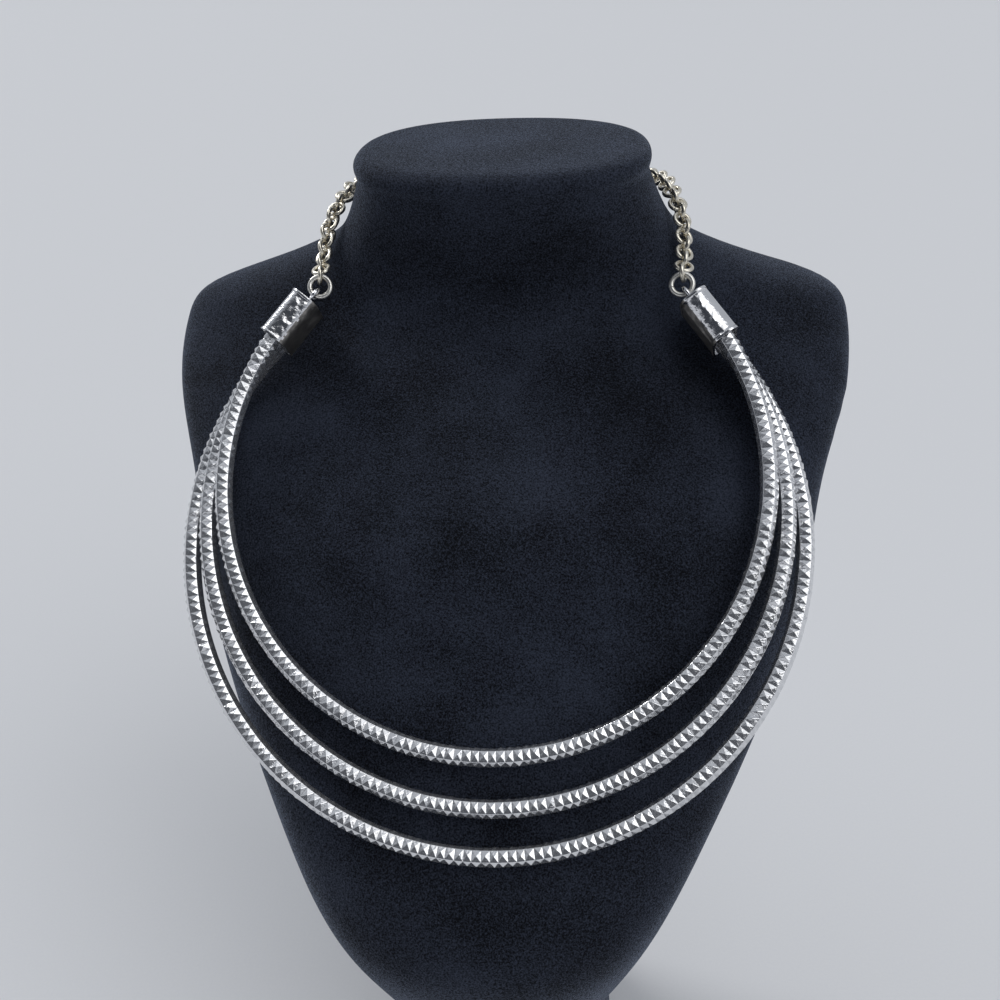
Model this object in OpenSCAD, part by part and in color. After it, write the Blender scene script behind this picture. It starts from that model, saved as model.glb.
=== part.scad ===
// Three-row collar choker on a velvet neck bust.
// Millimetres, Z up, front of the bust towards -Y, origin at the middle of the bust's flat base.

/* [Collar] */
// Half the distance between the two ends of the inner tube
mouth_x = 60.4; // [59:0.1:61]
// How far the tube ends stand behind the collar's centre, measured in the collar's plane
mouth_back = 37.3; // [36:0.1:38]
// Angle of the collar's plane below the horizontal
collar_tilt = 52; // [50:0.5:54]
// Height of the collar's centre above the base
collar_z = 222; // [221:0.5:224]
// Place of the collar's centre from front to back
collar_y = -4; // [-7:0.5:-3]
// Reach of the inner, middle and outer rows below the centre, in the collar's plane
row_reach = [71, 83.4, 94.9];
// Depth of each row behind the collar's plane at the front
row_depth = [0.2, 1.7, 2.5];

/* [Tube] */
// Radius of a tube over the tips of its pyramids
tip_r = 2.38; // [2.32:0.02:2.44]
// Radius of a tube at the corners between pyramids
valley_r = 2.4; // [2.2:0.02:2.44]
// Pyramids round a tube
around = 5; // [5:1:8]
// Length that a tube runs on inside its end cap
tube_in = 2.6; // [1.5:0.1:3]

/* [End caps] */
// Distance between neighbouring tubes in a cap
stack_pitch = 5; // [4.95:0.05:5.2]
// Angle by which the stack of tubes leans outwards
stack_lean = 9; // [6:0.5:12]
// Direction of a cap in the collar's plane
cap_angle = 36.7; // [35:0.1:38]
// Length of a cap
cap_len = 14.2; // [12:0.1:16]
// Width of a cap's narrow face
cap_w = 7.9; // [6.6:0.1:8]
// Depth of a cap beyond the middles of its first and last tube
cap_over = 6.5; // [6.4:0.1:7]
// Radius of a cap's long edges
cap_round = 3; // [1:0.1:3.1]
// Thickness of a cap's wall
cap_wall = 0.5; // [0.4:0.05:0.55]
// Depth of the pocket that takes the tubes
pocket_deep = 3.4; // [3.2:0.1:5]

/* [Chain] */
// Radius of a chain link to the middle of its wire
link_r = 2.2; // [2.1:0.05:2.3]
// Radius of a chain link's wire
link_wire = 0.62; // [0.5:0.02:0.64]
// Radius of a jump ring to the middle of its wire
jump_r = 2.85; // [2.7:0.05:3]
// Radius of a jump ring's wire
jump_wire = 0.72; // [0.6:0.02:0.76]
// Radius of a cap's eye to the middle of its wire
eye_r = 1.7; // [1.65:0.05:1.9]
// Radius of a cap eye's wire
eye_wire = 0.6; // [0.5:0.05:0.65]

/* [Bust] */
// Sides round the bust
bust_sides = 44; // [32:4:48]
// Greatest height between two rings of the bust's surface
bust_step = 7; // [6:1:20]

/* [Hidden] */

// Bust sections from the base up
HEIGHT = 0; HALF = 1; FRONT = 2; BACK = 3; LEAN = 4; SQUARE = 5;
// height, half width, front, back, lean of the section in degrees, squareness
bust_rows = [
    [  0,   33.5, -40.5, 40.5, 0, 2.4],
    [  2,   35,   -42,   42,   0, 2.4],
    [ 26,   33.5, -42,   41,   0, 2.4],
    [ 50,   34.5, -47,   44,   0, 2.4],
    [ 84,   46,   -64,   49,   0, 2.4],
    [118,   57.5, -74,   55,   0, 2.4],
    [150,   75,   -54,   63,   0, 2.4],
    [182,   86.5, -35,   73,   0, 2.4],
    [210,   91,   -19,   83,   0, 2.4],
    [232,  100,    10,   91,   0, 2.4],
    [246,  100.5,  28.5, 95,   0, 2.2],
    [255,   93.5,  34.8, 96,   0, 2.1],
    [262,   68,    34.5, 96,   1, 2.1],
    [269,   52,    31.5, 95,   2, 2.1],
    [277,   45.5,  28,   93,   3, 2.2],
    [285,   42,    25,   91,   4, 2.3],
    [288.5, 40.5,  23.5, 90,   5, 2.3],
    [290.5, 41.5,  21.5, 91,   5, 2.3],
    [293,   41.5,  21,   91.4, 5, 2.3],
    [295,   39.5,  23.5, 88.5, 5, 2.3],
];

// Lengths of the pyramids along each tube, one after another and then over again
pyramid_lengths = [[2.05, 2.25, 1.95, 2.3], [2, 2.25, 2.1], [2.15, 2.35, 2.05]];
// Angle round the tube of the row of pyramids that faces forwards
pyramid_turn = -100;

// Way of the chain from the right jump ring to the clasp behind the neck
chain_way = [
    [49.9, 35.3, 264.1], [50.4, 40.2, 265.6], [50.6, 47, 269.5], [50.4, 51.7, 273.3],
    [49.4, 56.5, 276.8], [47.9, 61.5, 279.6], [46.4, 68.2, 281.2], [43.3, 76.1, 281.8],
    [37.2, 83.8, 282], [27.6, 90.2, 282], [16.1, 94.1, 282], [8.7, 95.2, 282],
];
// Step from link to link that leaves the links loose in each other
link_step = 2 * (link_r - link_wire) - 0.2;
// Distance from a jump ring to its first link
first_step = jump_r - jump_wire + link_r - link_wire - 0.25;
// Middle of the neck from front to back, which the links face away from
neck_y = 58;
ring_turn = 9;
twist = 38;
stem_len = 0.4;
stem_r = 0.75;
clasp_r = 2.3;
clasp_len = 9;
rim_out = 0.15;
rim_len = 0.7;
stack_mid = stack_pitch * 1.5 - stack_pitch / 2;
cap_h = 2 * stack_pitch + cap_over;
eye_y = cap_len + stem_len + eye_r + eye_wire;
$fn = 48;

// A value of the bust's table at any height, on a smooth curve through the rows
function slope(col, i) =
    let (a = max(i - 1, 0), b = min(i + 1, len(bust_rows) - 1))
    (bust_rows[b][col] - bust_rows[a][col]) / (bust_rows[b][HEIGHT] - bust_rows[a][HEIGHT]);
function between(col, i, t) =
    let (h = bust_rows[i + 1][HEIGHT] - bust_rows[i][HEIGHT], t2 = t * t, t3 = t2 * t)
    (2 * t3 - 3 * t2 + 1) * bust_rows[i][col] + (t3 - 2 * t2 + t) * h * slope(col, i)
    + (3 * t2 - 2 * t3) * bust_rows[i + 1][col] + (t3 - t2) * h * slope(col, i + 1);
function section(i, t) =
    [for (col = [HEIGHT : SQUARE]) col == HEIGHT
        ? bust_rows[i][HEIGHT] * (1 - t) + bust_rows[i + 1][HEIGHT] * t : between(col, i, t)];
bust_sections = [
    for (i = [0 : len(bust_rows) - 2])
        let (n = ceil((bust_rows[i + 1][HEIGHT] - bust_rows[i][HEIGHT]) / bust_step))
        for (j = [0 : n - 1]) section(i, j / n),
    bust_rows[len(bust_rows) - 1],
];

function squared(v, square) = sign(v) * pow(abs(v), 2 / square);
function bust_ring(s) =
    let (mid = (s[FRONT] + s[BACK]) / 2, deep = (s[BACK] - s[FRONT]) / 2)
    [for (k = [0 : bust_sides - 1])
        let (a = 360 * k / bust_sides, y = deep * squared(sin(a), s[SQUARE]))
        [s[HALF] * squared(cos(a), s[SQUARE]), mid + y, s[HEIGHT] + y * tan(s[LEAN])]];

// One row of the collar, in the collar's own frame: X across, Y down the front, Z into the bust
function mouth(row) =
    let (out = row * stack_pitch * sin(stack_lean))
    [mouth_x + out * cos(cap_angle), -mouth_back - out * sin(cap_angle),
     row * stack_pitch * cos(stack_lean)];
function row_fall(row) = let (m = mouth(row))
    [row_reach[row] - m[1], row_depth[row] - m[2]];
function row_centre(row) = let (l = norm(row_fall(row)), x = mouth(row)[0])
    (l * l - x * x) / (2 * l);
function row_r(row) = norm(row_fall(row)) - row_centre(row);
function row_end(row) = atan2(row_centre(row), mouth(row)[0]) + tube_in / row_r(row) * 180 / PI;

// Places of the rings between pyramids, as angles along the row
function total(list, n) = n == 0 ? 0 : total(list, n - 1) + list[(n - 1) % len(list)];
function ring_angles(row) =
    let (pattern = pyramid_lengths[row], sweep = 180 + 2 * row_end(row),
         length = sweep * PI / 180 * row_r(row),
         n = round(length / total(pattern, len(pattern)) * len(pattern)),
         whole = total(pattern, n))
    [for (i = [0 : n]) -row_end(row) + sweep * total(pattern, i) / whole];
function tube_point(row, t, turn, r) =
    let (out = row_r(row) + r * cos(turn)) [out * cos(t), out * sin(t), r * sin(turn)];

module pyramid_tube(row) {
    angles = ring_angles(row);
    last = len(angles) - 1;
    step = 360 / around;
    corners = [for (t = angles) for (k = [0 : around - 1])
        tube_point(row, t, pyramid_turn + (k + 0.5) * step, valley_r)];
    tips = [for (i = [0 : last - 1]) for (k = [0 : around - 1])
        tube_point(row, (angles[i] + angles[i + 1]) / 2, pyramid_turn + (k + 1) * step, tip_r)];
    sides = [for (i = [0 : last - 1]) for (k = [0 : around - 1])
        let (a = i * around + k, b = i * around + (k + 1) % around,
             c = b + around, d = a + around, tip = len(corners) + a)
        each [[a, b, tip], [b, c, tip], [c, d, tip], [d, a, tip]]];
    ends = [[for (k = [around - 1 : -1 : 0]) k], [for (k = [0 : around - 1]) last * around + k]];
    polyhedron(concat(corners, tips), concat(sides, ends));
}

module in_collar() {
    translate([0, collar_y, collar_z]) rotate([180 + collar_tilt, 0, 0]) children();
}

module collar(row) {
    m = mouth(row);
    fall = row_fall(row);
    color("silver") in_collar() translate([0, m[1], m[2]])
        rotate([atan2(fall[1], fall[0]), 0, 0]) translate([0, row_centre(row), 0])
            pyramid_tube(row);
}

// The frame of the right end cap: X outwards, -Y from the tubes to the eye, Z along the stack
module in_cap() {
    in_collar() translate([mouth_x, -mouth_back, 0]) rotate([0, 0, -cap_angle])
        rotate([0, stack_lean, 0]) children();
}

module rounded_bar(w, h, r, l) {
    rotate([90, 0, 0]) linear_extrude(l) {
        square([w - 2 * r, h], center = true);
        square([w, h - 2 * r], center = true);
        for (x = [-1, 1]) for (y = [-1, 1]) translate([x * (w / 2 - r), y * (h / 2 - r)]) circle(r);
    }
}

module ring(r, wire) {
    rotate_extrude() translate([r, 0]) circle(wire);
}

module cap() {
    color("gainsboro") in_cap() {
        difference() {
            translate([0, 0, stack_mid]) {
                rounded_bar(cap_w, cap_h, cap_round, cap_len);
                for (y = [0, cap_len - rim_len]) translate([0, -y, 0])
                    rounded_bar(cap_w + 2 * rim_out, cap_h + 2 * rim_out, cap_round + rim_out, rim_len);
            }
            translate([0, 1, stack_mid])
                rounded_bar(cap_w - 2 * cap_wall, cap_h - 2 * cap_wall, cap_round - cap_wall, 1 + pocket_deep);
        }
        translate([0, -cap_len + 0.2, stack_mid]) rotate([90, 0, 0])
            cylinder(r = stem_r, h = 0.2 + stem_len + eye_wire);
        translate([0, -eye_y, stack_mid]) rotate([0, 90, 0]) ring(eye_r, eye_wire);
    }
}

module jump_ring() {
    color("gainsboro") in_cap()
        translate([jump_r * sin(ring_turn), -eye_y - jump_r * cos(ring_turn), stack_mid])
            ring(jump_r, jump_wire);
}

// Turns a point by the rotations that place the collar's frame and then the cap's frame
function turn_x(p, a) = [p[0], p[1] * cos(a) - p[2] * sin(a), p[1] * sin(a) + p[2] * cos(a)];
function turn_y(p, a) = [p[0] * cos(a) + p[2] * sin(a), p[1], p[2] * cos(a) - p[0] * sin(a)];
function turn_z(p, a) = [p[0] * cos(a) - p[1] * sin(a), p[0] * sin(a) + p[1] * cos(a), p[2]];
function from_cap(p) = turn_x(turn_z(turn_y(p, stack_lean), -cap_angle)
    + [mouth_x, -mouth_back, 0], 180 + collar_tilt) + [0, collar_y, collar_z];
ring_centre = from_cap([jump_r * sin(ring_turn), -eye_y - jump_r * cos(ring_turn), stack_mid]);

// The chain's way as a smooth curve, then as places at equal steps along it
way = concat([ring_centre], chain_way);
function way_slope(i) = (way[min(i + 1, len(way) - 1)] - way[max(i - 1, 0)])
    / (min(i + 1, len(way) - 1) - max(i - 1, 0));
function way_point(i, t) = let (t2 = t * t, t3 = t2 * t)
    (2 * t3 - 3 * t2 + 1) * way[i] + (t3 - 2 * t2 + t) * way_slope(i)
    + (3 * t2 - 2 * t3) * way[i + 1] + (t3 - t2) * way_slope(i + 1);
fine_steps = 12;
fine = [for (i = [0 : len(way) - 2]) for (j = [0 : fine_steps - 1]) way_point(i, j / fine_steps),
    way[len(way) - 1]];
function lengths(i = 0, sum = 0) = i == len(fine) ? []
    : let (now = i == 0 ? 0 : sum + norm(fine[i] - fine[i - 1])) concat([now], lengths(i + 1, now));
along = lengths();
way_len = along[len(along) - 1];
// An even number of links leaves the clasp's eyes flat against the neck
links = 2 * round((way_len - first_step) / link_step / 2);
step_len = (way_len - first_step) / links;
function at_length(l) = let (i = max([for (k = [0 : len(along) - 2]) if (along[k] <= l) k]))
    fine[i] + (fine[i + 1] - fine[i]) * (l - along[i]) / (along[i + 1] - along[i]);
function link_centre(i) = at_length(first_step + (i - 1) * step_len);
function unit(v) = v / norm(v);
function link_ahead(i) = unit(at_length(first_step + (i - 0.7) * step_len)
    - at_length(first_step + (i - 1.3) * step_len));
function link_out(i) = let (p = link_centre(i), d = link_ahead(i), o = [p[0], p[1] - neck_y, 0])
    unit(o - (o * d) * d);
// The line that a link turns about: away from the neck for odd links, across it for even ones,
// each a little off square, and the chain twists one way and back as it hangs
function link_axis(i) =
    let (o = link_out(i), v = cross(link_ahead(i), o),
         a = (i % 2 == 1 ? 0 : 90) + twist * sin(540 * (i - 1) / (links - 1)) + 4 * sin((i - 1) * 137))
    o * cos(a) + v * sin(a);

module half_chain() {
    color("lightgray") for (i = [1 : links]) let (n = link_axis(i))
        translate(link_centre(i)) rotate([0, acos(n[2]), atan2(n[1], n[0])]) ring(link_r, link_wire);
}

module bust() {
    rings = [for (s = bust_sections) each bust_ring(s)];
    top = len(bust_sections) - 1;
    sides = [for (i = [0 : top - 1]) for (k = [0 : bust_sides - 1])
        let (a = i * bust_sides + k, b = i * bust_sides + (k + 1) % bust_sides,
             c = b + bust_sides, d = a + bust_sides)
        each [[a, d, b], [b, d, c]]];
    ends = [[for (k = [0 : bust_sides - 1]) k],
            [for (k = [bust_sides - 1 : -1 : 0]) top * bust_sides + k]];
    color("midnightblue") polyhedron(rings, concat(sides, ends));
}

module clasp() {
    end = way[len(way) - 1];
    color("gainsboro") translate([0, end[1], end[2]]) {
        rotate([0, 90, 0]) cylinder(r = clasp_r, h = clasp_len, center = true);
        for (side = [-1, 1]) {
            translate([side * clasp_len / 2, 0, 0]) sphere(clasp_r);
            translate([side * end[0], 0, 0]) rotate([90, 0, 0]) ring(link_r, link_wire);
        }
    }
}

bust();
collar(0);  // collar_inner
collar(1);  // collar_middle
collar(2);  // collar_outer
cap();  // cap_right
mirror([1, 0, 0]) cap();  // cap_left
jump_ring();  // jump_ring_right
mirror([1, 0, 0]) jump_ring();  // jump_ring_left
half_chain();  // chain_right
mirror([1, 0, 0]) half_chain();  // chain_left
clasp();
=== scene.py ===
import bpy, math
import numpy as np
from mathutils import Matrix, Vector


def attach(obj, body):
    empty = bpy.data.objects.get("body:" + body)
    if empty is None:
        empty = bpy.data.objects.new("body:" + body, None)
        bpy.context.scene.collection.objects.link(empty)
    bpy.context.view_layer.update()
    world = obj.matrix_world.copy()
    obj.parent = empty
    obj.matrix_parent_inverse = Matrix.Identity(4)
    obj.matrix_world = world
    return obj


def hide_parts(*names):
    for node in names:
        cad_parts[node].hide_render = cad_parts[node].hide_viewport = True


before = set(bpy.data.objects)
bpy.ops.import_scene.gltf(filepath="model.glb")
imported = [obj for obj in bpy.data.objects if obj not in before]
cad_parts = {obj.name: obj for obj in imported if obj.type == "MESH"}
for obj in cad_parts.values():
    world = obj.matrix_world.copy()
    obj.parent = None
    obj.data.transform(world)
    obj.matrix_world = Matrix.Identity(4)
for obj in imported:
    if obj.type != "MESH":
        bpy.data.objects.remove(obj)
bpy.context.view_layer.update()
scene = bpy.context.scene
mm = 0.001


def linear(hexColour):
    # sRGB hex to the linear values that Blender's sockets take
    parts = [int(hexColour[i:i + 2], 16) / 255 for i in (1, 3, 5)]
    return [c / 12.92 if c <= 0.04045 else ((c + 0.055) / 1.055) ** 2.4 for c in parts] + [1]


def addNode(tree, kind, links=None, **settings):
    # one node with its socket values, its own properties and its incoming links
    node = tree.nodes.new(kind)
    for name, value in settings.items():
        if name.startswith("in_"):
            key = name[3:]
            node.inputs[int(key) if key.isdigit() else key.replace("_", " ")].default_value = value
        else:
            setattr(node, name, value)
    for key, source in (links or {}).items():
        tree.links.new(source, node.inputs[key])
    return node


def newMaterial(name):
    material = bpy.data.materials.new(name)
    material.use_nodes = True
    tree = material.node_tree
    return material, tree, tree.nodes["Principled BSDF"]


def deselectAll():
    if bpy.context.object and bpy.context.object.mode != "OBJECT":
        bpy.ops.object.mode_set(mode="OBJECT")
    bpy.ops.object.select_all(action="DESELECT")


def pick(piece):
    deselectAll()
    piece.select_set(True)
    bpy.context.view_layer.objects.active = piece


def editAll():
    # edit mode, with the whole of the active piece selected
    bpy.ops.object.mode_set(mode="EDIT")
    bpy.ops.mesh.select_all(action="SELECT")


def leaveEdit():
    bpy.ops.mesh.select_all(action="DESELECT")
    bpy.ops.object.mode_set(mode="OBJECT")


def selectFaces(piece, test):
    # selects the faces whose centre and normal pass the test, and leaves face mode on
    pick(piece)
    for v in piece.data.vertices:
        v.select = False
    for e in piece.data.edges:
        e.select = False
    for f in piece.data.polygons:
        f.select = bool(test(f.center, f.normal))
    bpy.ops.object.mode_set(mode="EDIT")
    bpy.context.tool_settings.mesh_select_mode = (False, False, True)


def applyPlace():
    bpy.ops.object.transform_apply(location=True, rotation=True, scale=True)


def applyAll(piece):
    # every modifier and the object's own place go into its mesh
    pick(piece)
    for modifier in list(piece.modifiers):
        bpy.ops.object.modifier_apply(modifier=modifier.name)
    applyPlace()


def addBevel(piece, width, segments, angle):
    # softens the edges that are sharper than the angle
    bevel = piece.modifiers.new("bevel", "BEVEL")
    bevel.width = width
    bevel.segments = segments
    bevel.limit_method = "ANGLE"
    bevel.angle_limit = math.radians(angle)


def finishPiece(piece, name, node, material):
    piece.name = name
    piece.data.name = name
    piece.data.materials.clear()
    piece.data.materials.append(material)
    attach(piece, "root")
    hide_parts(node)


# Camera: the place and angle that the photograph's tubes and bust outline give
cameraView = {"place": (28.6, -233.9, 337.9), "turn": 6.47, "down": 28.0, "roll": -2.18, "lens": 36.0,
              "sensor": 36.0, "near": 0.01, "far": 50.0}

cameraData = bpy.data.cameras.new("camera")
cameraData.lens = cameraView["lens"]
cameraData.sensor_width = cameraView["sensor"]
cameraData.clip_start = cameraView["near"]
cameraData.clip_end = cameraView["far"]
camera = bpy.data.objects.new("camera", cameraData)
scene.collection.objects.link(camera)
camera.matrix_world = (Matrix.Translation(Vector(cameraView["place"]) * mm)
                       @ Matrix.Rotation(math.radians(cameraView["turn"]), 4, "Z")
                       @ Matrix.Rotation(math.radians(90 - cameraView["down"]), 4, "X")
                       @ Matrix.Rotation(math.radians(cameraView["roll"]), 4, "Z"))
scene.camera = camera
print("camera placed")

# Floor and light: a pale sheet of card and three wide soft lights, far off on the right, above, and
# behind on the left. A light's size is the angle that its mirror image takes up in a facet
studio = {"floorSize": 80.0, "floorLow": "#DADBDE", "floorHigh": "#DFE0E2", "fibre": 1.1,
          "floorRough": 0.9, "floorShine": 0.2,
          "sky": "#DBE0E8", "skyStrength": 0.62,
          "dusk": "#4E525A", "duskFrom": (-0.25, -0.91, 0.33), "duskEdge": (0.45, 0.9),
          "keyFrom": (0.56, -0.42, 0.71), "keyStrength": 0.54, "keySize": 46.0,
          "topFrom": (0.28, -0.30, 0.91), "topStrength": 0.30, "topSize": 44.0,
          "backFrom": (-0.60, 0.40, 0.69), "backStrength": 1.05, "backSize": 21.0}

scene.view_settings.view_transform = "Standard"
scene.view_settings.look = "None"


def makeFloor():
    # matt white card: its fibres, drawn about a millimetre wide, keep the pale tone from being quite flat
    deselectAll()
    bpy.ops.mesh.primitive_plane_add(size=studio["floorSize"], location=(0, 0, 0))
    floor = bpy.context.object
    floor.name = "floor"
    card, tree, shader = newMaterial("matt white card")
    where = addNode(tree, "ShaderNodeTexCoord")
    fibre = addNode(tree, "ShaderNodeTexNoise", {"Vector": where.outputs["Object"]},
                    in_Scale=1 / (studio["fibre"] * mm), in_Detail=3.0)
    tone = addNode(tree, "ShaderNodeMix", {0: fibre.outputs["Fac"]}, data_type="RGBA",
                   in_6=linear(studio["floorLow"]), in_7=linear(studio["floorHigh"]))
    tree.links.new(tone.outputs[2], shader.inputs["Base Color"])
    shader.inputs["Roughness"].default_value = studio["floorRough"]
    shader.inputs["Specular IOR Level"].default_value = studio["floorShine"]
    floor.data.materials.append(card)


def makeRoom():
    # the room is pale at the sides and back, and darker in front, where the camera stands
    world = bpy.data.worlds.new("soft room")
    world.use_nodes = True
    scene.world = world
    tree = world.node_tree
    background = tree.nodes["Background"]
    background.inputs["Strength"].default_value = studio["skyStrength"]
    direction = addNode(tree, "ShaderNodeTexCoord")
    front = addNode(tree, "ShaderNodeVectorMath", {0: direction.outputs["Generated"]},
                    operation="DOT_PRODUCT", in_1=studio["duskFrom"])
    dusk = addNode(tree, "ShaderNodeMapRange", {"Value": front.outputs["Value"]},
                   interpolation_type="SMOOTHSTEP", in_1=studio["duskEdge"][0], in_2=studio["duskEdge"][1])
    tone = addNode(tree, "ShaderNodeMix", {0: dusk.outputs["Result"]}, data_type="RGBA",
                   in_6=linear(studio["sky"]), in_7=linear(studio["dusk"]))
    tree.links.new(tone.outputs[2], background.inputs["Color"])


def farLight(name):
    data = bpy.data.lights.new(name + " light", "SUN")
    data.energy = studio[name + "Strength"]
    data.angle = math.radians(studio[name + "Size"])
    lamp = bpy.data.objects.new(name + " light", data)
    scene.collection.objects.link(lamp)
    lamp.location = Vector(studio[name + "From"])  # a sun shines from its direction, wherever it stands
    lamp.rotation_euler = Vector(studio[name + "From"]).to_track_quat("Z", "Y").to_euler()


makeFloor()
makeRoom()
for name in ("key", "top", "back"):
    farLight(name)
print("floor and lights placed")


def plateMaterial(name, look):
    # polished plate: tone and haze change over a few millimetres, and the surface waves a little.
    # The real waves are finer than the render can show, so they are drawn under a millimetre wide
    material, tree, shader = newMaterial(name)
    where = addNode(tree, "ShaderNodeTexCoord")
    cloud = addNode(tree, "ShaderNodeTexNoise", {"Vector": where.outputs["Object"]},
                    in_Scale=1 / (look["cloudSize"] * mm), in_Detail=3.0)
    tone = addNode(tree, "ShaderNodeMix", {0: cloud.outputs["Fac"]}, data_type="RGBA",
                   in_6=linear(look["low"]), in_7=linear(look["high"]))
    tree.links.new(tone.outputs[2], shader.inputs["Base Color"])
    haze = addNode(tree, "ShaderNodeMapRange", {"Value": cloud.outputs["Fac"]},
                   in_3=look["polish"][0], in_4=look["polish"][1])
    tree.links.new(haze.outputs["Result"], shader.inputs["Roughness"])
    shader.inputs["Metallic"].default_value = look["metal"]
    ripple = addNode(tree, "ShaderNodeTexNoise", {"Vector": where.outputs["Object"]},
                     in_Scale=1 / (look["rippleSize"] * mm), in_Detail=2.0)
    bump = addNode(tree, "ShaderNodeBump", {"Height": ripple.outputs["Fac"]}, in_Strength=1.0,
                   in_Distance=look["rippleDepth"] * mm)
    tree.links.new(bump.outputs["Normal"], shader.inputs["Normal"])
    return material


# Tubes: bright rhodium-like plate over pressed brass under clear lacquer. Each facet is a slightly
# uneven mirror, and the lacquer scatters a little light, so no facet is quite black
silverPlate = plateMaterial("bright silver plate", {
    "metal": 0.86, "cloudSize": 3.8, "low": "#D6D7DA", "high": "#F2F2F3", "polish": (0.09, 0.20),
    "rippleSize": 0.9, "rippleDepth": 0.10})
# Caps: the same plate polished by hand, which breaks every reflection into blobs
capPlate = plateMaterial("wavy silver plate", {
    "metal": 1.0, "cloudSize": 3.3, "low": "#D4D4D7", "high": "#F2F2F3", "polish": (0.12, 0.22),
    "rippleSize": 0.7, "rippleDepth": 0.10})
# Neck side of a cap: a dull brown plate, a painted reflection and shade. It gives that side the dim brown
# look of the shaded velvet it faces
paintedNeckReflection = plateMaterial("dull brown plate as painted reflection", {
    "metal": 1.0, "cloudSize": 2.4, "low": "#62605D", "high": "#BEBAB5", "polish": (0.32, 0.66),
    "rippleSize": 0.8, "rippleDepth": 0.12})
# Jump rings: tumbled wire, satin, so that it takes the light softly
wirePlate = plateMaterial("satin silver wire", {
    "metal": 1.0, "cloudSize": 2.0, "low": "#CBC8C0", "high": "#F1EFEA", "polish": (0.24, 0.36),
    "rippleSize": 0.7, "rippleDepth": 0.06})
# Chain: the same wire, older and slightly yellow
chainPlate = plateMaterial("warm silver plate", {
    "metal": 1.0, "cloudSize": 2.4, "low": "#D3CAB6", "high": "#F9F5EA", "polish": (0.22, 0.34),
    "rippleSize": 0.7, "rippleDepth": 0.06})

# Velvet: dense short woven pile, near black with a blue cast, pale where it is seen along the fibres.
# A single fibre is too fine to show, so the tufts are drawn about half a millimetre wide
velvetLook = {"deep": "#080A10", "light": "#363C4A", "paleShare": 0.42, "napSize": 25.0, "napShare": 1.4,
              "tuftSize": 0.45, "tuftShare": 3.8, "tuftDepth": 0.3, "tuftBump": 0.5,
              "rough": 0.95, "shine": 0.15, "ends": (0.38, 0.62),
              "sheen": (0.05, 0.85), "sheenSpread": 0.35, "sheenTint": "#AFBACF"}


def makeVelvet():
    look = velvetLook
    material, tree, shader = newMaterial("cotton velvet")
    where = addNode(tree, "ShaderNodeTexCoord")
    nap = addNode(tree, "ShaderNodeTexNoise", {"Vector": where.outputs["Object"]},
                  in_Scale=1 / (look["napSize"] * mm), in_Detail=5.0)
    tuft = addNode(tree, "ShaderNodeTexNoise", {"Vector": where.outputs["Object"]},
                   in_Scale=1 / (look["tuftSize"] * mm), in_Detail=3.0, in_Roughness=0.7)
    # pale fibre ends stand out of the dark pile, more of them where it has been brushed the other way
    brushed = addNode(tree, "ShaderNodeMath", {0: nap.outputs["Fac"]}, operation="MULTIPLY_ADD",
                      in_1=look["napShare"],
                      in_2=look["paleShare"] - look["napShare"] / 2 - look["tuftShare"] / 2)
    spread = addNode(tree, "ShaderNodeMath", {0: tuft.outputs["Fac"], 2: brushed.outputs["Value"]},
                     operation="MULTIPLY_ADD", in_1=look["tuftShare"])
    tone = addNode(tree, "ShaderNodeMix", {0: spread.outputs["Value"]}, data_type="RGBA",
                   in_6=linear(look["deep"]), in_7=linear(look["light"]))
    tree.links.new(tone.outputs[2], shader.inputs["Base Color"])
    shader.inputs["Roughness"].default_value = look["rough"]
    shader.inputs["Specular IOR Level"].default_value = look["shine"]
    # the ends of the pile catch the light one by one
    ends = addNode(tree, "ShaderNodeMapRange", {"Value": tuft.outputs["Fac"]}, in_1=look["ends"][0],
                   in_2=look["ends"][1], in_3=look["sheen"][0], in_4=look["sheen"][1])
    tree.links.new(ends.outputs["Result"], shader.inputs["Sheen Weight"])
    shader.inputs["Sheen Roughness"].default_value = look["sheenSpread"]
    shader.inputs["Sheen Tint"].default_value = linear(look["sheenTint"])
    bump = addNode(tree, "ShaderNodeBump", {"Height": tuft.outputs["Fac"]}, in_Strength=look["tuftBump"],
                   in_Distance=look["tuftDepth"] * mm)
    tree.links.new(bump.outputs["Normal"], shader.inputs["Normal"])
    return material


velvet = makeVelvet()
print("finishes made")

# Collar: three tubes with five rows of pressed pyramids, each an arc of a circle in its own plane.
# Sizes are in mm, and a tuple has a value for each tube from the inner one out
collarShape = {"centre": (0.0, -4.0, 222.0), "tilt": 52.0, "mouthX": 60.4, "mouthBack": 37.3,
               "pitch": 5.0, "lean": 9.0, "capAngle": 36.7, "tubeIn": 2.6,
               "reach": (71.0, 83.4, 94.9), "depth": (0.2, 1.7, 2.5),
               "around": 5, "turn": -100.0, "valley": 2.4, "tip": 2.38,
               "tiles": ((2.05, 2.25, 1.95, 2.3), (2.0, 2.25, 2.1), (2.15, 2.35, 2.05)),
               "unevenTip": 0.16, "unevenSeed": 3, "countFrom": (1.0, 3.0),
               "edge": 0.05, "edgeAngle": 8.0, "smoothAngle": 3.0}


def collarFrame():
    # the collar's own frame: X to the right, Y down its front to the lowest point, Z into the bust
    return (Matrix.Translation(Vector(collarShape["centre"]))
            @ Matrix.Rotation(math.radians(180 + collarShape["tilt"]), 4, "X"))


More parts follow.
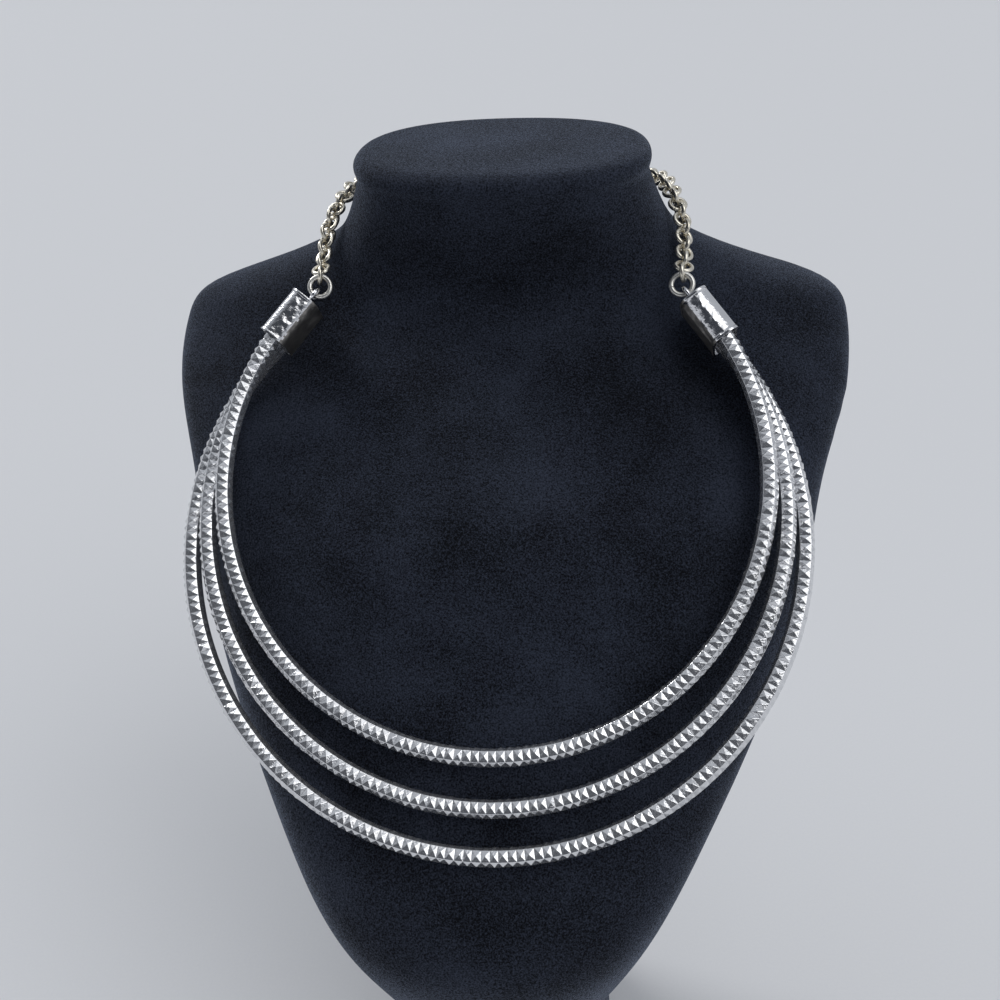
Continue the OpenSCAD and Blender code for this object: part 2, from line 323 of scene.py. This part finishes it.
def rowPlace(row):
    # centre, radius and half sweep of a row's circle, from its mouth and its lowest point
    c = collarShape
    lean, turn = math.radians(c["lean"]), math.radians(c["capAngle"])
    out = row * c["pitch"] * math.sin(lean)
    mouth = Vector((c["mouthX"] + out * math.cos(turn), -c["mouthBack"] - out * math.sin(turn),
                    row * c["pitch"] * math.cos(lean)))
    fall, sink = c["reach"][row] - mouth.y, c["depth"][row] - mouth.z
    long = math.hypot(fall, sink)
    centre = (long ** 2 - mouth.x ** 2) / (2 * long)
    radius = long - centre
    halfSweep = math.pi / 2 + math.atan2(centre, mouth.x) + c["tubeIn"] / radius
    place = (collarFrame() @ Matrix.Translation((0, mouth.y, mouth.z))
             @ Matrix.Rotation(math.atan2(sink, fall), 4, "X") @ Matrix.Translation((0, centre, 0)))
    return place, radius, halfSweep


def tubeStart(length):
    # a ring with one side for each row of pyramids, at the start of the straight tube
    c = collarShape
    turn = math.radians(c["turn"] + 180 / c["around"])
    up = Vector((0, -math.cos(turn), math.sin(turn)))
    side = Vector((0, up.z, -up.y))
    deselectAll()
    bpy.ops.mesh.primitive_circle_add(vertices=c["around"], radius=c["valley"], fill_type="NOTHING")
    tube = bpy.context.object
    tube.matrix_world = (Matrix.Translation((-length / 2, 0, 0))
                         @ Matrix((side, up, (1, 0, 0))).transposed().to_4x4())
    applyPlace()
    return tube


def pullTiles(tube, tiles, repeats, length):
    # one set of tiles is pulled out of the ring, and the rest repeat it
    editAll()
    for t in tiles:
        bpy.ops.mesh.extrude_edges_move(TRANSFORM_OT_translate={"value": (t, 0, 0)})
    leaveEdit()
    array = tube.modifiers.new("array", "ARRAY")
    array.count = repeats
    array.use_relative_offset = False
    array.use_constant_offset = True
    array.constant_offset_displace = (length / repeats, 0, 0)
    array.use_merge_vertices = True
    array.merge_threshold = 0.01
    bpy.ops.object.modifier_apply(modifier="array")


def pressPyramids(tube, start, seed):
    # each tile becomes a pyramid, and the tips are left a little uneven, as pressed ones are
    c = collarShape
    corners = len(tube.data.vertices)
    editAll()
    bpy.ops.mesh.normals_make_consistent(inside=False)
    bpy.ops.mesh.poke(offset=c["tip"] - c["valley"] * math.cos(math.pi / c["around"]))
    leaveEdit()
    for v in tube.data.vertices:
        v.select = v.index >= corners
    bpy.ops.object.mode_set(mode="EDIT")
    bpy.context.tool_settings.mesh_select_mode = (True, False, False)
    # Blender numbers the new tips in another order each time. They are numbered by their distance from
    # a point beside the tube's start first, so that each tip is the same in every run
    scene.cursor.location = (start, *c["countFrom"])
    bpy.ops.mesh.sort_elements(type="CURSOR_DISTANCE", elements={"VERT"})
    scene.cursor.location = (0, 0, 0)
    bpy.ops.transform.vertex_random(offset=c["unevenTip"], uniform=1.0, normal=0.0, seed=seed)
    # both ends are closed
    bpy.ops.mesh.select_all(action="SELECT")
    bpy.ops.mesh.region_to_loop()
    bpy.ops.mesh.edge_face_add()
    leaveEdit()


def makeTube(row, name, node):
    c = collarShape
    place, radius, halfSweep = rowPlace(row)
    length = 2 * halfSweep * radius
    tiles = c["tiles"][row]
    repeats = round(length / sum(tiles))
    tiles = [t * length / repeats / sum(tiles) for t in tiles]
    tube = tubeStart(length)
    pullTiles(tube, tiles, repeats, length)
    pressPyramids(tube, -length / 2, c["unevenSeed"] + row)
    addBevel(tube, c["edge"], 1, c["edgeAngle"])
    bend = tube.modifiers.new("bend", "SIMPLE_DEFORM")
    bend.deform_method = "BEND"
    bend.deform_axis = "Z"
    bend.angle = 2 * halfSweep
    tube.matrix_world = (Matrix.Scale(mm, 4) @ place
                         @ Matrix.Translation((0, radius, 0)) @ Matrix.Rotation(math.pi, 4, "Z"))
    applyAll(tube)
    bpy.ops.object.shade_smooth_by_angle(angle=math.radians(c["smoothAngle"]))
    finishPiece(tube, name, node, silverPlate)
    print(name, len(tube.data.polygons), "faces")


for row, which in enumerate(("inner", "middle", "outer")):
    makeTube(row, "collar_tube_" + which, "collar_" + which)

# Bust: the velvet is stretched over the form, smooth, with a soft lip round the neck's top. Sizes in mm
bustShape = {"smooth": 2, "flat": 0.95, "baseTo": 0.5, "baseInset": 0.5,
             "topFrom": 290.0, "topInset": 5.0, "topRise": 0.1, "topRings": 3}


def copyNode(nodeName):
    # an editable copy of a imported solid: its loose triangles are merged and made quads again
    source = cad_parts[nodeName]
    deselectAll()
    piece = bpy.data.objects.new(nodeName + "_copy", source.data.copy())
    scene.collection.objects.link(piece)
    pick(piece)
    editAll()
    bpy.ops.mesh.remove_doubles(threshold=0.01 * mm)
    bpy.ops.mesh.customdata_custom_splitnormals_clear()
    quadAngle = math.radians(60)
    bpy.ops.mesh.tris_convert_to_quads(face_threshold=quadAngle, shape_threshold=quadAngle)
    leaveEdit()
    return piece


def makeBust():
    b = bustShape
    bust = copyNode("bust")
    # the base and the neck's top become one face each, inset so that their edges stay even
    selectFaces(bust, lambda p, n: n.z < -b["flat"] and p.z < b["baseTo"] * mm)
    bpy.ops.mesh.dissolve_faces()
    bpy.ops.mesh.inset(thickness=b["baseInset"] * mm, depth=0)
    leaveEdit()
    selectFaces(bust, lambda p, n: n.z > b["flat"] and p.z > b["topFrom"] * mm)
    bpy.ops.mesh.dissolve_faces()
    for ring in range(b["topRings"]):
        bpy.ops.mesh.inset(thickness=b["topInset"] * mm, depth=b["topRise"] * mm)
    leaveEdit()
    smooth = bust.modifiers.new("smooth", "SUBSURF")
    smooth.levels = smooth.render_levels = b["smooth"]
    applyAll(bust)
    bpy.ops.object.shade_smooth()
    finishPiece(bust, "velvet_bust", "bust", velvet)
    print("bust", len(bust.data.polygons), "faces")


makeBust()

# Rings: round wire bent to a circle, cut where its ends meet. Sizes in mm and degrees
ringShape = {"link": {"radius": 2.2, "wire": 0.62, "steps": 36, "sides": 12, "turn": 70},
             "jump": {"radius": 2.85, "wire": 0.72, "steps": 56, "sides": 18, "turn": 200},
             "cut": 2.0, "cutTurn": 137.5, "edge": 0.08, "edgeAngle": 60.0, "smoothAngle": 50.0}


def makeWireRing(ring):
    # a ring in its own XY plane, with its cut towards +X
    deselectAll()
    bpy.ops.mesh.primitive_circle_add(vertices=ring["sides"], radius=ring["wire"] * mm, fill_type="NGON",
                                      location=(ring["radius"] * mm, 0, 0), rotation=(math.pi / 2, 0, 0))
    piece = bpy.context.object
    applyPlace()
    editAll()
    bpy.ops.mesh.spin(steps=ring["steps"], angle=2 * math.pi - math.radians(ringShape["cut"]),
                      center=(0, 0, 0), axis=(0, 0, 1))
    bpy.ops.mesh.select_all(action="SELECT")
    bpy.ops.mesh.remove_doubles(threshold=0.01 * mm)
    bpy.ops.mesh.normals_make_consistent(inside=False)
    leaveEdit()
    addBevel(piece, ringShape["edge"] * mm, 2, ringShape["edgeAngle"])
    applyAll(piece)
    bpy.ops.object.shade_smooth_by_angle(angle=math.radians(ringShape["smoothAngle"]))
    return piece


def islandsOf(nodeName):
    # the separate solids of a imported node, as arrays of points
    copyNode(nodeName)
    editAll()
    bpy.ops.mesh.separate(type="LOOSE")
    bpy.ops.object.mode_set(mode="OBJECT")
    parts = list(bpy.context.selected_objects)
    points = [np.array([v.co[:] for v in part.data.vertices]) for part in parts]
    for part in parts:
        bpy.data.objects.remove(part)
    return points


def placeRings(pattern, nodeName, turn):
    # a copy of the pattern in the place and plane of each of the node's rings, joined into one piece.
    # The cuts turn on from ring to ring, so that no two beside each other look alike
    copies = []
    for index, points in enumerate(islandsOf(nodeName)):
        centre = points.mean(0)
        across = Vector(np.linalg.svd(points - centre, full_matrices=False)[2][2])
        ring = pattern.copy()
        ring.data = pattern.data.copy()
        scene.collection.objects.link(ring)
        ring.matrix_world = (Matrix.Translation(Vector(centre))
                             @ across.to_track_quat("Z", "Y").to_matrix().to_4x4()
                             @ Matrix.Rotation(math.radians(turn + ringShape["cutTurn"] * index), 4, "Z"))
        copies.append(ring)
    deselectAll()
    for ring in copies:
        ring.select_set(True)
    bpy.context.view_layer.objects.active = copies[0]
    if len(copies) > 1:
        bpy.ops.object.join()
    applyPlace()
    return bpy.context.object


link = makeWireRing(ringShape["link"])
jump = makeWireRing(ringShape["jump"])
for side in ("right", "left"):
    finishPiece(placeRings(link, "chain_" + side, ringShape["link"]["turn"]),
                "chain_links_" + side, "chain_" + side, chainPlate)
    finishPiece(placeRings(jump, "jump_ring_" + side, ringShape["jump"]["turn"]),
                "jump_ring_wire_" + side, "jump_ring_" + side, wirePlate)
for pattern in (link, jump):
    bpy.data.objects.remove(pattern)
print("rings and chain made")

# End caps: a rounded box that takes the three tubes, with a rim at each end, a wavy polish and a soldered
# eye. Sizes are in mm. A cap lies behind its mouth along -Y, with the side that faces the neck at -X
capShape = {"length": 14.2, "width": 7.9, "over": 6.5, "round": 3.0, "wall": 0.5, "pocket": 3.4,
            "roundSteps": 10, "grid": 0.28, "rim": 0.7, "rimOut": 0.15,
            "edge": 0.07, "edgeAngle": 50.0, "smoothAngle": 35.0,
            "wave": 0.55, "waveSize": 1.9, "waveFadeY": 0.5, "waveFadeZ": 1.5, "waveEndX": 1.3,
            "lean": {"right": 0.24, "left": 0.0}, "dullSlope": 0.55, "dullReach": 1.2,
            "eyeRadius": 1.7, "eyeWire": 0.6, "eyeSteps": 40, "eyeSides": 18,
            "stem": 0.75, "stemLength": 0.4, "stemSides": 28, "stemSink": 0.2}
capMiddle = collarShape["pitch"]
capHeight = 2 * capMiddle + capShape["over"]


def cutRows(axis, low, high, step):
    # cuts all faces with planes across an axis, at even steps
    count = max(1, round((high - low) / step))
    normal = [0, 0, 0]
    normal[axis] = 1
    for i in range(1, count):
        point = [0, 0, 0]
        point[axis] = low + (high - low) * i / count
        bpy.ops.mesh.select_all(action="SELECT")
        bpy.ops.mesh.bisect(plane_co=point, plane_no=normal)


def makeCapBox():
    # a box with its four long edges rounded, cut into small squares so that its polish can wave
    c = capShape
    deselectAll()
    bpy.ops.mesh.primitive_cube_add(size=1, location=(0, -c["length"] / 2, capMiddle))
    cap = bpy.context.object
    cap.scale = (c["width"], c["length"], capHeight)
    applyPlace()
    for e in cap.data.edges:
        a, b = (cap.data.vertices[i].co for i in e.vertices)
        e.select = abs(a.y - b.y) > 1
    for f in cap.data.polygons:
        f.select = False
    bpy.context.tool_settings.mesh_select_mode = (False, True, False)
    bpy.ops.object.mode_set(mode="EDIT")
    bpy.ops.mesh.bevel(offset=c["round"], offset_type="OFFSET", segments=c["roundSteps"], profile=0.5)
    cutRows(1, -c["length"] + c["rim"], -c["rim"], c["grid"])
    cutRows(2, capMiddle - capHeight / 2 + c["round"], capMiddle + capHeight / 2 - c["round"], c["grid"])
    cutRows(0, -c["width"] / 2 + c["round"], c["width"] / 2 - c["round"], c["grid"])
    for y in (-c["rim"], -c["length"] + c["rim"]):
        bpy.ops.mesh.select_all(action="SELECT")
        bpy.ops.mesh.bisect(plane_co=(0, y, 0), plane_no=(0, 1, 0))
    leaveEdit()
    return cap


def shapeCapEnds(cap):
    # a rim stands out round each end, and the mouth's floor goes in to the ends of the tubes
    c = capShape
    for low, high in ((-c["rim"], 0), (-c["length"], -c["length"] + c["rim"])):
        selectFaces(cap, lambda p, n: low < p.y < high and abs(n.y) < 0.5)
        bpy.ops.mesh.extrude_region_shrink_fatten(TRANSFORM_OT_shrink_fatten={"value": c["rimOut"]})
        leaveEdit()
    selectFaces(cap, lambda p, n: n.y > 0.9 and p.y > -0.01)
    bpy.ops.mesh.dissolve_faces()
    bpy.ops.mesh.inset(thickness=c["wall"] + c["rimOut"], depth=0)
    bpy.ops.mesh.extrude_region_move(TRANSFORM_OT_translate={"value": (0, -c["pocket"], 0)})
    leaveEdit()
    selectFaces(cap, lambda p, n: n.y < -0.9 and p.y < -c["length"] + 0.01)
    bpy.ops.mesh.dissolve_faces()
    leaveEdit()


def waveCap(cap, side):
    # the narrow faces wave between the rims, and on one cap they lean outwards a little
    c = capShape
    addBevel(cap, c["edge"], 2, c["edgeAngle"])
    body = cap.vertex_groups.new(name="body")
    for v in cap.data.vertices:
        fromRim = min(-c["rim"] - v.co.y, v.co.y + c["length"] - c["rim"])
        narrow = abs(v.co.z - capMiddle) - capHeight / 2 + c["round"]
        if fromRim > 0 and narrow > 0:
            share = min(1, fromRim / c["waveFadeY"]) * min(1, narrow / c["waveFadeZ"])
            body.add([v.index], share * max(0, min(1, c["waveEndX"] - v.co.x)), "REPLACE")
            v.co.z -= math.copysign(c["lean"][side] * v.co.x * share, v.co.z - capMiddle)
    texture = bpy.data.textures.new("wavy polish " + side, "CLOUDS")
    texture.noise_scale = c["waveSize"]
    texture.noise_depth = 1
    wave = cap.modifiers.new("wave", "DISPLACE")
    wave.texture = texture
    wave.texture_coords = "LOCAL"
    wave.vertex_group = "body"
    wave.strength = c["wave"]
    wave.mid_level = 0.5
    pick(cap)
    for modifier in ("bevel", "wave"):
        bpy.ops.object.modifier_apply(modifier=modifier)


def solderEye(cap):
    # the eye and its short stem are one with the closed end
    c = capShape
    deselectAll()
    bpy.ops.mesh.primitive_torus_add(
        major_radius=c["eyeRadius"], minor_radius=c["eyeWire"], major_segments=c["eyeSteps"],
        minor_segments=c["eyeSides"], rotation=(0, math.pi / 2, 0),
        location=(0, -(c["length"] + c["stemLength"] + c["eyeRadius"] + c["eyeWire"]), capMiddle))
    eye = bpy.context.object
    applyPlace()
    deselectAll()
    depth = c["stemLength"] + c["eyeWire"] + c["stemSink"]
    bpy.ops.mesh.primitive_cylinder_add(
        vertices=c["stemSides"], radius=c["stem"], depth=depth, rotation=(math.pi / 2, 0, 0),
        location=(0, -c["length"] + c["stemSink"] - depth / 2, capMiddle))
    stem = bpy.context.object
    applyPlace()
    pick(cap)
    for added in (stem, eye):
        union = cap.modifiers.new("union", "BOOLEAN")
        union.operation = "UNION"
        union.solver = "EXACT"
        union.object = added
        bpy.ops.object.modifier_apply(modifier="union")
        bpy.data.objects.remove(added)


def makeCap(side):
    c = capShape
    cap = makeCapBox()
    shapeCapEnds(cap)
    waveCap(cap, side)
    solderEye(cap)
    # the faces on the side that faces the neck take the dull brown plate of painted reflection and shade
    neckSide = [f.normal.x < -c["dullSlope"] and f.center.x < -c["width"] / 2 + c["dullReach"]
                for f in cap.data.polygons]
    place = (collarFrame() @ Matrix.Translation((collarShape["mouthX"], -collarShape["mouthBack"], 0))
             @ Matrix.Rotation(math.radians(-collarShape["capAngle"]), 4, "Z")
             @ Matrix.Rotation(math.radians(collarShape["lean"]), 4, "Y"))
    if side == "left":
        place = Matrix.Scale(-1, 4, (1, 0, 0)) @ place
    cap.matrix_world = Matrix.Scale(mm, 4) @ place
    applyAll(cap)
    editAll()
    bpy.ops.mesh.normals_make_consistent(inside=False)
    leaveEdit()
    bpy.ops.object.shade_smooth_by_angle(angle=math.radians(c["smoothAngle"]))
    finishPiece(cap, "end_cap_" + side, "cap_" + side, capPlate)
    # painted reflection and shade: the neck side's faces take the dull brown plate
    cap.data.materials.append(paintedNeckReflection)
    for f, dull in zip(cap.data.polygons, neckSide):
        f.material_index = int(dull)
    print("end cap", side, len(cap.data.polygons), "faces")


for side in ("right", "left"):
    makeCap(side)

# Clasp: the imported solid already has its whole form, so it stays and takes the chain's finish
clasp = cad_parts["clasp"]
clasp.data.materials.clear()
clasp.data.materials.append(chainPlate)
print("clasp dressed")
